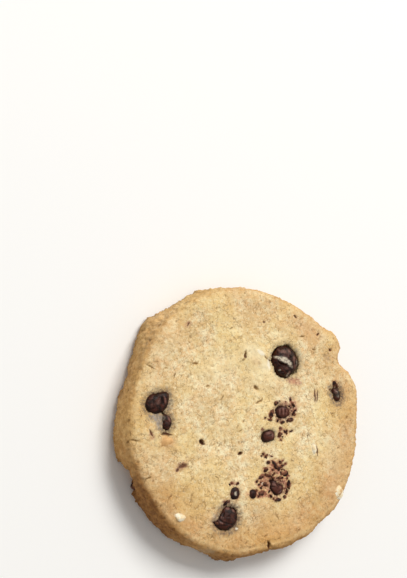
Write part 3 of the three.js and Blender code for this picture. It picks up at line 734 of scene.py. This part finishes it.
def surface_finder():
    """A function that gives the dough's height at a place on the slice, in metres."""
    tree = BVHTree.FromPolygons(*mesh_faces(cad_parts["dough"].data))

    def height(x, y):
        above = Vector((*frame_xy(x, y), 2 * THICKNESS * MM))
        hit, _, _, _ = tree.ray_cast(above, Vector((0, 0, -1)))
        return hit.z

    return height


def mesh_faces(mesh):
    return [v.co.copy() for v in mesh.vertices], [tuple(f.vertices) for f in mesh.polygons]


def drop(bm, place, sizes, degrees, dimple):
    """A rounded drop with a dimple in the middle of its top."""
    turn = Matrix.Rotation(math.radians(degrees), 4, "Z")
    form = Matrix.Translation(place) @ turn @ Matrix.Diagonal([s * MM for s in sizes]).to_4x4()
    ball = bmesh.ops.create_icosphere(bm, subdivisions=3, radius=0.5)["verts"]
    for v in ball:
        off = math.hypot(v.co.x, v.co.y) / DIMPLE["width"]
        if v.co.z > 0:
            v.co.z -= dimple * math.exp(-(off**2)) * DIMPLE["depth"]
        v.co *= 1 + DROP_UNEVENNESS["share"] * noise.noise(v.co * DROP_UNEVENNESS["size"])
        v.co = form @ v.co


def strewn_crumbs(draw):
    """Fine crumbs at random places within the ovals where they lie strewn."""
    crumbs = []
    for x, y, along, across, degrees, count in STREWN:
        turn = math.radians(degrees)
        for _ in range(count):
            way = draw.uniform(0, 2 * math.pi)
            reach = draw.uniform(0, 1) ** STREWN_OUTWARDS
            u = reach * along * math.cos(way)
            v = reach * across * math.sin(way)
            at_x = x + u * math.cos(turn) - v * math.sin(turn)
            at_y = y + u * math.sin(turn) + v * math.cos(turn)
            size = draw.uniform(*STREWN_SIZE)
            stretch = draw.uniform(*STREWN_STRETCH)
            crumbs.append((at_x, at_y, size * stretch, size, draw.uniform(0, 180)))
    return crumbs


def chocolate_crumbs(height):
    bm = bmesh.new()
    draw = random.Random(CRUMB_SEED)
    fused = [(crumb, CRUMB_RISE) for crumb in CRUMBS]
    loose = [(crumb, FINE_CRUMB_RISE) for crumb in FINE_CRUMBS]
    strewn = [(crumb, STREWN_RISE) for crumb in strewn_crumbs(draw)]
    for (x, y, along, across, degrees), rise in fused + loose + strewn:
        tall = 2 * CRUMB_PROUD + across / 2
        place = Vector((*frame_xy(x, y), height(x, y) + (rise - tall / 2) * MM))
        sizes = (along * CRUMB_SPREAD, across * CRUMB_SPREAD, tall)
        shard(bm, place, sizes, degrees, draw)
    degrees, distance, level, size = WALL_CHIP
    turn = math.radians(degrees)
    place = Vector((*frame_xy(distance * math.cos(turn), distance * math.sin(turn)), level * MM))
    shard(bm, place, [CRUMB_SPREAD * size] * 3, degrees, draw)
    rounded(bm, CRUMB_CUTS, CRUMB_FULLNESS, CRUMB_ROUGHNESS)
    piece = new_piece("chocolate_crumbs", bm)
    mark_bloom_and_sheen(piece)
    return piece


def chocolate_drops(height):
    bm = bmesh.new()
    for x, y, along, across, degrees, dimple in DROPS:
        place = Vector((*frame_xy(x, y), height(x, y) - DROP_SUNK * MM))
        drop(bm, place, (along, across, DROP_HEIGHT), degrees, dimple)
    piece = new_piece("chocolate_drops", bm)
    mark_bloom_and_sheen(piece)
    return piece


def nut_pieces(height):
    bm = bmesh.new()
    draw = random.Random(NUT_SEED)
    for x, y, along, across, degrees, proud, toasted in NUTS:
        tall = 2 * proud + NUT_DEPTH * across
        place = Vector((*frame_xy(x, y), height(x, y) + (proud + NUT_RISE - tall / 2) * MM))
        shard(bm, place, (along, across, tall), degrees, draw, NUT_CORNERS)
    rounded(bm, NUT_CUTS, NUT_FULLNESS)
    piece = new_piece("nut_pieces", bm)
    places = slice_places(piece)
    spots = [(x, y, along, along, 0, toasted) for x, y, along, _, _, _, toasted in NUTS]
    mark(piece, "toasted", soft_spots(places, spots))
    return piece


# ---- Materials ----------------------------------------------------------------------------


class Shades:
    """A material's nodes, linked by short calls."""

    def __init__(self, name):
        self.material = bpy.data.materials.new(name)
        self.material.use_nodes = True
        self.tree = self.material.node_tree
        self.tree.nodes.clear()
        self.surface = self.tree.nodes.new("ShaderNodeBsdfPrincipled")
        output = self.tree.nodes.new("ShaderNodeOutputMaterial")
        self.tree.links.new(self.surface.outputs["BSDF"], output.inputs["Surface"])
        self.place = self.tree.nodes.new("ShaderNodeTexCoord").outputs["Object"]

    def feed(self, socket, value):
        if isinstance(value, bpy.types.NodeSocket):
            self.tree.links.new(value, socket)
        else:
            socket.default_value = value

    def mask(self, name):
        node = self.tree.nodes.new("ShaderNodeAttribute")
        node.attribute_name = name
        return node.outputs["Fac"]

    def speckle(self, size, detail=3.0, roughness=0.55, out="Fac", place=None):
        """Noise whose lumps are size millimetres across."""
        node = self.tree.nodes.new("ShaderNodeTexNoise")
        self.feed(node.inputs["Vector"], place or self.place)
        node.inputs["Scale"].default_value = 1 / (size * MM)
        node.inputs["Detail"].default_value = detail
        node.inputs["Roughness"].default_value = roughness
        return node.outputs[out]

    def vector_maths(self, operation, first, second=None, out="Vector"):
        node = self.tree.nodes.new("ShaderNodeVectorMath")
        node.operation = operation
        self.feed(node.inputs[0], first)
        if second is not None:
            self.feed(node.inputs[1], second)
        return node.outputs[out]

    def stirred(self, size, reach):
        """The place, stirred up to reach millimetres by noise of a size."""
        stir = self.vector_maths("SUBTRACT", self.speckle(size, 2.0, out="Color"), (0.5, 0.5, 0.5))
        far = self.vector_maths("MULTIPLY", stir, (2 * reach * MM, 2 * reach * MM, 2 * reach * MM))
        return self.vector_maths("ADD", self.place, far)

    def seams(self, size, place):
        """How far each place is from the seams between cells of a size."""
        node = self.tree.nodes.new("ShaderNodeTexVoronoi")
        node.feature = "DISTANCE_TO_EDGE"
        self.feed(node.inputs["Vector"], place)
        node.inputs["Scale"].default_value = 1 / (size * MM)
        return node.outputs["Distance"]

    def strokes(self, marks, place):
        """1 inside soft-edged ovals given by place, length, width and degrees."""
        cover = None
        for x, y, length, width, degrees in marks:
            node = self.tree.nodes.new("ShaderNodeMapping")
            node.vector_type = "TEXTURE"
            self.feed(node.inputs["Vector"], place)
            node.inputs["Location"].default_value = (*frame_xy(x, y), 0)
            node.inputs["Rotation"].default_value = (0, 0, math.radians(degrees))
            node.inputs["Scale"].default_value = (length / 2 * MM, width / 2 * MM, 1)
            off = self.vector_maths("LENGTH", node.outputs["Vector"], out="Value")
            oval = self.between(off, *STROKE_EDGE, 1.0, 0.0)
            cover = oval if cover is None else self.maths("MAXIMUM", cover, oval)
        return cover

    def between(self, value, low, high, to_low=0.0, to_high=1.0):
        node = self.tree.nodes.new("ShaderNodeMapRange")
        node.interpolation_type = "SMOOTHSTEP"
        self.feed(node.inputs["Value"], value)
        for socket, number in zip(node.inputs[1:5], (low, high, to_low, to_high)):
            socket.default_value = number
        return node.outputs["Result"]

    def maths(self, operation, first, second):
        node = self.tree.nodes.new("ShaderNodeMath")
        node.operation = operation
        self.feed(node.inputs[0], first)
        self.feed(node.inputs[1], second)
        return node.outputs["Value"]

    def mix(self, share, first, second, blend="MIX"):
        node = self.tree.nodes.new("ShaderNodeMix")
        node.data_type = "RGBA"
        node.blend_type = blend
        self.feed(node.inputs["Factor"], share)
        self.feed(node.inputs["A"], first)
        self.feed(node.inputs["B"], second)
        return node.outputs["Result"]

    def lay(self, under, share, name, strength=1.0):
        """One of COLOURS over another colour, as strongly as share times strength."""
        if strength != 1.0:
            share = self.maths("MULTIPLY", share, strength)
        return self.mix(share, under, shade(name))

    def mottle(self, first, second, low, high, size, detail=3.0, roughness=0.55):
        """Two of COLOURS in lumps: the first where the noise is below low, the second above high."""
        lumps = self.between(self.speckle(size, detail, roughness), low, high)
        return self.mix(lumps, shade(first), shade(second))

    def bump(self, height, distance, strength=1.0):
        node = self.tree.nodes.new("ShaderNodeBump")
        node.inputs["Distance"].default_value = distance * MM
        node.inputs["Strength"].default_value = strength
        self.feed(node.inputs["Height"], height)
        return node.outputs["Normal"]

    def coat(self, colour, roughness, normal, specular=0.5):
        """Gives the surface its look and hands back the material."""
        self.feed(self.surface.inputs["Base Color"], colour)
        self.feed(self.surface.inputs["Roughness"], roughness)
        self.feed(self.surface.inputs["Specular IOR Level"], specular)
        self.feed(self.surface.inputs["Normal"], normal)
        return self.material


def shortbread_material():
    """Baked crumb and wall with painted highlight and shade, and what the chocolate and the nuts left on
    them.
    """
    m = Shades("shortbread")
    colour = m.lay(mottled_crumb(m), m.mask("pale"), "pale", 0.8)
    uneven = m.between(m.speckle(7.5), 0.3, 0.7, -0.1, 0.1)
    baking = m.between(m.maths("ADD", m.mask("browning"), uneven), 0.0, 1.0)
    browned = m.mix(baking, shade("raw"), shade("browned"))
    colour = m.mix(1.0, colour, browned, "MULTIPLY")
    colour = m.lay(colour, m.mask("tan"), "tan", 0.65)
    colour = baked_wall(m, colour)
    # Painted shade in the pores and cracks, the darker the deeper.
    colour = m.lay(colour, m.between(m.mask("hollow"), 0.03, 0.35, 0.0, 0.75), "hollow")
    colour = chocolate_stains(m, colour)
    colour = fine_strokes(m, colour)
    return m.coat(colour, 0.85, m.bump(m.speckle(0.55, 4.0, 0.75), 0.22), specular=0.2)


def mottled_crumb(m):
    """Cream and wheat grains with pits, olive seams and tan and yellow patches."""
    colour = m.mottle("wheat", "cream", 0.42, 0.60, 1.5, 5.0, 0.8)
    for size, detail, roughness, start, full, strength, name in MOTTLING:
        patches = m.between(m.speckle(size, detail, roughness), start, full, 0.0, strength)
        colour = m.lay(colour, patches, name)
    pits = m.between(m.speckle(0.55, 4.0, 0.8), 0.30, 0.44, 0.95, 0.0)
    colour = m.lay(colour, pits, "pit")
    seam = m.between(m.seams(1.3, m.stirred(0.9, 0.5)), 0.0, 0.09, 1.0, 0.0)
    gaps = m.between(m.speckle(1.9), 0.46, 0.60, 0.0, 0.55)
    return m.lay(colour, m.maths("MULTIPLY", seam, gaps), "seam")


def baked_wall(m, colour):
    """The browned wall with painted shade on its side turned from the light, under a shoulder with a
    painted highlight; darkest at its foot, partly painted contact shade.
    """
    # A painted highlight along the rim's shoulder.
    colour = m.lay(colour, m.mask("shoulder"), "shoulder", 0.25)
    crust_and_shade = m.mottle("dark crust and shade", "light crust and shade", 0.40, 0.62, 1.6, 4.0, 0.8)
    gold = m.mottle("dark gold", "light gold", 0.40, 0.62, 1.3, 4.0, 0.8)
    colour = m.mix(m.mask("golden"), colour, gold)
    # The crust colours give the wall its browning and painted shade.
    colour = m.mix(m.mask("wall"), colour, crust_and_shade)
    # Darker towards the foot: browning with painted contact shade.
    colour = m.lay(colour, m.mask("foot"), "foot", 0.5)
    place = m.stirred(1.5, 0.8)
    # A lighter grey patch on the wall.
    grey_patch = m.maths("MULTIPLY", m.strokes(GREY_WALL_PATCH, place), m.mask("wall"))
    colour = m.lay(colour, grey_patch, "grey patch", 0.9)
    grey = m.maths("MULTIPLY", m.strokes(FLAKE, place), m.mask("foot"))
    colour = m.lay(colour, grey, "flake", 0.7)
    return m.lay(colour, m.mask("under"), "underside")


def chocolate_stains(m, colour):
    """Where chocolate melted into the dough or left its fat in it, and the grey darkening round each chip.
    """
    stain = ragged_mask(m, "stain", 0.5)
    colour = m.lay(colour, stain, "stain")
    specks = m.between(m.speckle(0.75, 3.0, 0.7), 0.53, 0.60, 0.0, 0.8)
    colour = m.lay(colour, m.maths("MULTIPLY", stain, specks), "stain speck")
    colour = m.lay(colour, ragged_mask(m, "crumbed", 0.5), "crumb stain")
    colour = m.lay(colour, ragged_mask(m, "marks", 0.6), "mark", 0.6)
    # A grey darkening of the dough round each chip.
    colour = m.lay(colour, ragged_mask(m, "halo", 0.45), "halo", 0.95)
    return m.lay(colour, ragged_mask(m, "fat", 0.5), "fat", 0.95)


def fine_strokes(m, colour):
    """Painted shade along the cracks, olive streaks, threads of fat, and pale and dark slivers, on the top
    only.
    """
    top = m.mask("top")
    place = m.stirred(0.6, 0.22)
    hazy_place = m.stirred(0.5, 0.4)
    for strokes, where, name, strength in (
        (OLIVE_STROKES, place, "olive stroke", 0.75),
        (FAT_STREAKS, hazy_place, "haze", 0.24),
        (LIGHT_STROKES, place, "light stroke", 0.8),
        (DARK_STROKES, place, "dark stroke", 0.85),
    ):
        share = m.maths("MULTIPLY", m.strokes(strokes, where), top)
        colour = m.lay(colour, share, name, strength)
    return colour


def ragged_mask(m, name, raggedness):
    """A mask whose soft edge is broken up by grain."""
    grain = m.between(m.speckle(0.6, 4.0, 0.7), 0.35, 0.65, 1 - raggedness, 1 + raggedness)
    return m.between(m.maths("MULTIPLY", m.mask(name), grain), 0.05, 1.0)


def chocolate_material():
    """Dark chocolate that set dull, with painted highlights on lit facets, painted shade in its creases,
    and pale smears of fat with some painted sheen and highlights.
    """
    m = Shades("dark_chocolate")
    colour = m.mottle("dark chocolate", "light chocolate", 0.42, 0.64, 1.1, 4.0, 0.75)
    colour = m.lay(colour, m.mask("rim"), "chip rim", 0.5)
    colour = m.lay(colour, m.mask("warm"), "warm", 0.36)
    colour = m.lay(colour, m.maths("MULTIPLY", m.mask("edge"), m.mask("warm")), "warm rim", 0.85)
    colour = m.lay(colour, ragged_mask(m, "lit", 0.4), "lit", 0.8)
    # Painted shade in the creases, the darker the deeper.
    colour = m.lay(colour, m.between(m.mask("crease"), 0.04, 0.25, 0.0, 0.85), "crease")
    # Pale smears of fat, with painted sheen and highlights.
    colour = m.lay(colour, ragged_mask(m, "bloom_and_sheen", 0.5), "bloom_and_sheen")
    roughness = m.between(m.speckle(0.8), 0.3, 0.7, 0.3, 0.55)
    return m.coat(colour, roughness, m.bump(m.speckle(0.5, 4.0, 0.7), 0.15), specular=0.22)


def crumb_material():
    m = Shades("chocolate_crumb")
    colour = m.mottle("dark crumb", "light crumb", 0.42, 0.60, 1.2)
    # Pale smears and painted sheen, as on the chips.
    colour = m.lay(colour, ragged_mask(m, "bloom_and_sheen", 0.3), "crumb bloom")
    return m.coat(colour, 0.55, m.bump(m.speckle(0.3), 0.08, 0.8), specular=0.2)


def nut_material():
    m = Shades("nut")
    pale = m.mottle("light nut", "dark nut", 0.4, 0.62, 0.9)
    toasted = m.mottle("light toast", "dark toast", 0.4, 0.62, 1.0)
    colour = m.mix(m.mask("toasted"), pale, toasted)
    return m.coat(colour, 0.7, m.bump(m.speckle(0.4), 0.08, 0.8))


def floor_material():
    m = Shades("pale_floor")
    m.feed(m.surface.inputs["Base Color"], FLOOR_COLOUR)
    m.feed(m.surface.inputs["Roughness"], FLOOR_ROUGHNESS)
    return m.material


# ---- Stage --------------------------------------------------------------------------------


def photo_camera():
    """The camera, turned until the cookie's middle shows at its pixel."""
    lens = bpy.data.cameras.new("camera")
    lens.sensor_width = SENSOR
    lens.lens = FOCAL_PIXELS / max(PICTURE) * SENSOR
    camera = bpy.data.objects.new("camera", lens)
    back = Vector((-math.sin(CAMERA_TILT), 0, math.cos(CAMERA_TILT)))
    right = Vector((math.cos(CAMERA_TILT), 0, math.sin(CAMERA_TILT)))
    level = Matrix((right, Vector((0, 1, 0)), back)).transposed()
    across = (COOKIE_PIXEL[0] - PICTURE[0] / 2) / FOCAL_PIXELS
    down = (COOKIE_PIXEL[1] - PICTURE[1] / 2) / FOCAL_PIXELS
    seen = Vector((across, -down, -1)).normalized()
    turn = Vector((0, 0, -1)).rotation_difference(seen).to_matrix()
    middle = SLICE_MIDDLE + Vector((0, 0, THICKNESS / 2 * MM))
    place = Matrix.Translation(middle + back * CAMERA_DISTANCE * MM)
    camera.matrix_world = place @ (level @ turn.transposed()).to_4x4()
    lens.clip_start = CLIP_START
    bpy.context.scene.collection.objects.link(camera)
    bpy.context.scene.camera = camera


def studio_light():
    sky = bpy.data.worlds.new("sky")
    sky.use_nodes = True
    background = sky.node_tree.nodes["Background"]
    background.inputs["Color"].default_value = SKY_COLOUR
    background.inputs["Strength"].default_value = SKY_STRENGTH
    bpy.context.scene.world = sky
    key = bpy.data.lights.new("key", "AREA")
    key.energy = KEY_WATTS
    key.size = KEY_SIZE
    key.color = KEY_COLOUR
    lamp = bpy.data.objects.new("key", key)
    flat = math.cos(KEY_HEIGHT)
    way = Vector((flat * math.cos(KEY_AZIMUTH), flat * math.sin(KEY_AZIMUTH), math.sin(KEY_HEIGHT)))
    lamp.location = way * KEY_DISTANCE
    lamp.rotation_euler = way.to_track_quat("Z", "Y").to_euler()
    bpy.context.scene.collection.objects.link(lamp)


def floor():
    bm = bmesh.new()
    bmesh.ops.create_grid(bm, x_segments=1, y_segments=1, size=FLOOR_SIZE / 2)
    bmesh.ops.translate(bm, verts=bm.verts, vec=(0, 0, -FLOOR_DROP * MM))
    ground = new_piece("floor", bm)
    ground.data.materials.append(floor_material())


def main():
    bpy.context.scene.view_settings.view_transform = "Standard"
    photo_camera()
    studio_light()
    floor()
    dress(baked_dough(), shortbread_material(), "dough", "dough")
    height = surface_finder()
    dress(nut_pieces(height), nut_material(), "dough", "dough")
    dress(chocolate_crumbs(height), crumb_material(), "chocolate", "dough")
    chocolate = chocolate_material()
    dress(chocolate_drops(height), chocolate, "chocolate", "dough")
    for node in HALOS:
        dress(chocolate_chip(node), chocolate, "chocolate", node)


main()
